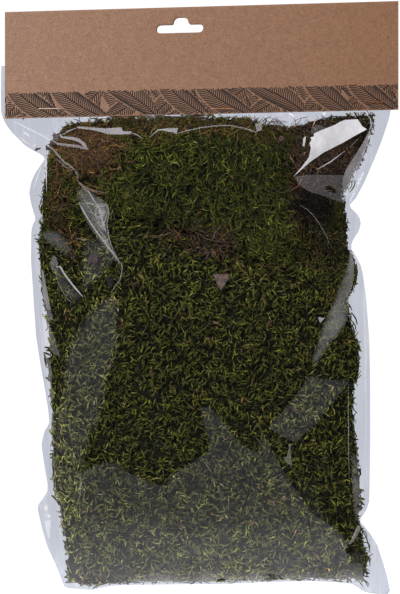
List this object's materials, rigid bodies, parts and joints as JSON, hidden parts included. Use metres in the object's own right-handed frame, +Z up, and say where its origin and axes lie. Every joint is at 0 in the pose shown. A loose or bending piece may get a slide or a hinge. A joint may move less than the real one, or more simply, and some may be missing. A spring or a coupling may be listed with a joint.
{
  "type": "bagged sheet moss pack",
  "caption": "Hanging shop pack of dried green sheet moss in a clear plastic bag, closed by a folded kraft card header with a euro hang slot and copper staples.",
  "frame": {"origin": "top of the euro slot's crown in the header card, midway between its two flaps, where a display hook carries the pack", "axes": "+Z up as the pack hangs, +X to the right as seen from the front, and the front faces -Y"},
  "size_m": [0.2525, 0.034, 0.3783],
  "materials": {
    "kraft_card": "matte",
    "clear_film": "gloss",
    "copper_wire": "satin",
    "moss_green": "matte",
    "moss_olive": "matte",
    "moss_underside": "matte",
    "dry_leaf": "matte"
  },
  "bodies": {
    "root": {"header_card": "kraft_card", "bag_film": "clear_film", "staple_left": "copper_wire", "staple_middle": "copper_wire", "staple_right": "copper_wire", "moss_mat_upper": "moss_green", "moss_mat_turned": "moss_underside", "moss_mat_right": "moss_olive", "moss_mat_lower": "moss_olive", "moss_mat_back_upper": "moss_green", "moss_mat_back_lower": "moss_olive", "dead_leaf": "dry_leaf", "leaf_scrap_upper": "dry_leaf", "leaf_scrap_lower": "dry_leaf"}
  },
  "joints": []
}
